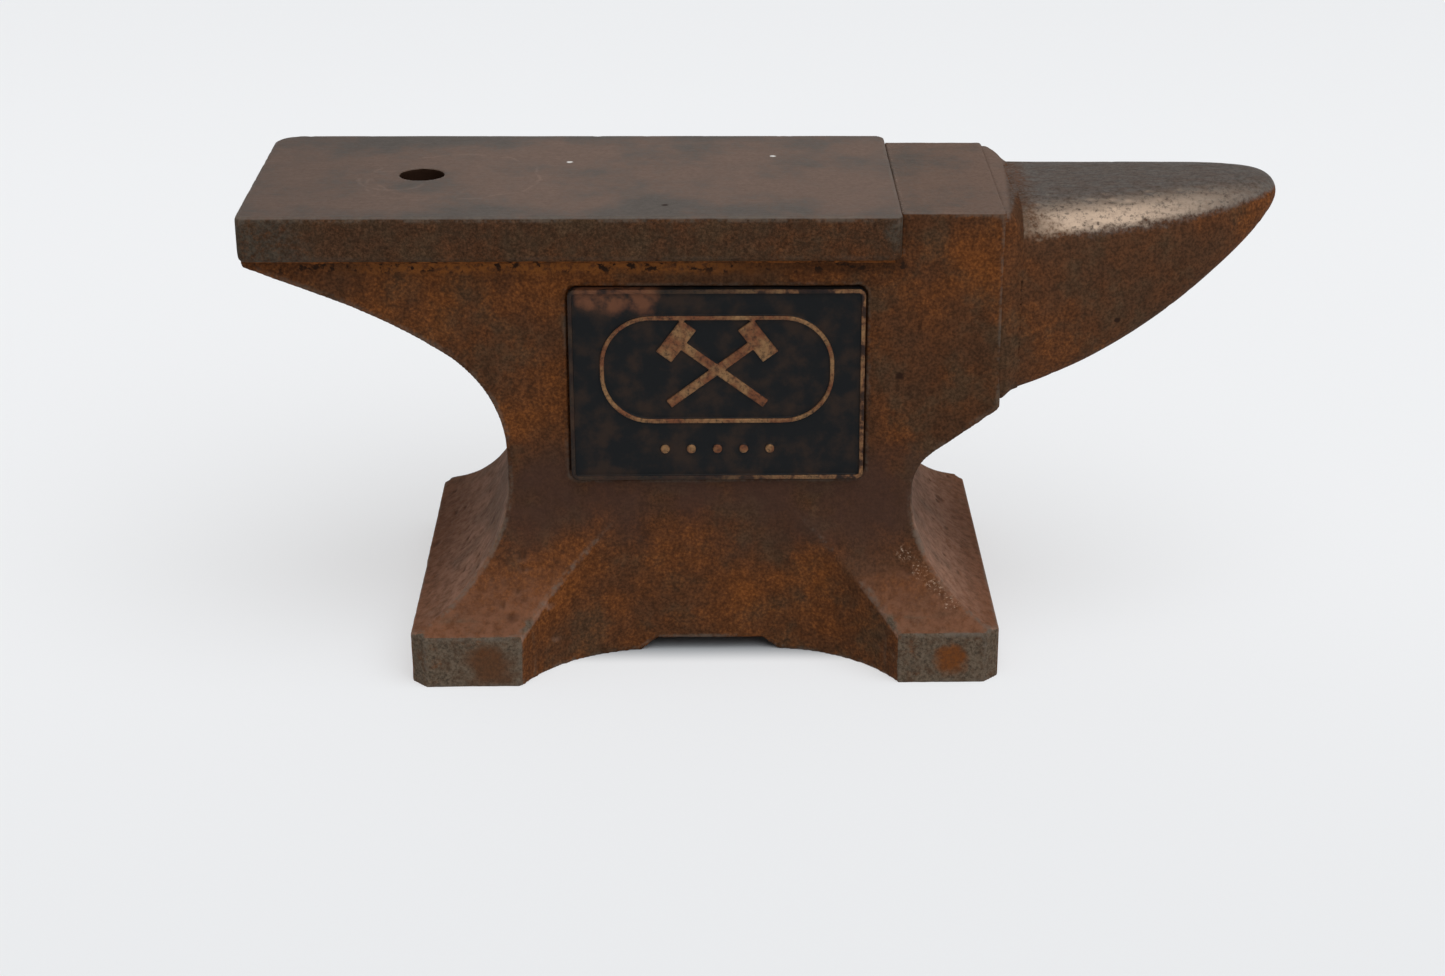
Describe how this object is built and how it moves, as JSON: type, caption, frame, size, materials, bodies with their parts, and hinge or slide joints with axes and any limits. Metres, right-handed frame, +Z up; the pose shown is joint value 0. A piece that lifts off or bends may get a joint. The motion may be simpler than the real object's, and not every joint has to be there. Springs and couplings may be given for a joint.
{
  "type": "anvil",
  "caption": "Small London-pattern blacksmith's anvil with a steel face, step table, round horn, heel with a round hole, waisted body on a wide foot, and a plain name plate.",
  "frame": {"origin": "on the floor, under the middle of the overall length and width (18 mm towards the horn from the middle of the base)", "axes": "+X towards the horn, +Y towards the back (the name plate faces -Y), +Z up"},
  "size_m": [0.276, 0.1128, 0.1271],
  "materials": {
    "rusted_casting": "sand-cast surface under even brown rust with orange patches",
    "worn_face": "dull brown-grey patina with fine scratches and bare worn edges",
    "rusted_horn": "brown rust, rubbed to grey metal along the crest",
    "rusted_weld": "rough rusty weld metal",
    "dark_brass": "black paint worn through to brass on the raised lines and edges",
    "stud_brass": "plain drawn brass"
  },
  "bodies": {
    "root": {"anvil_body": "rusted_casting", "face_plate": "worn_face", "face_weld_front": "rusted_weld", "face_weld_back": "rusted_weld", "horn": "rusted_horn", "horn_weld": "rusted_weld", "name_plaque": "dark_brass", "plaque_studs": "stud_brass"}
  },
  "joints": []
}
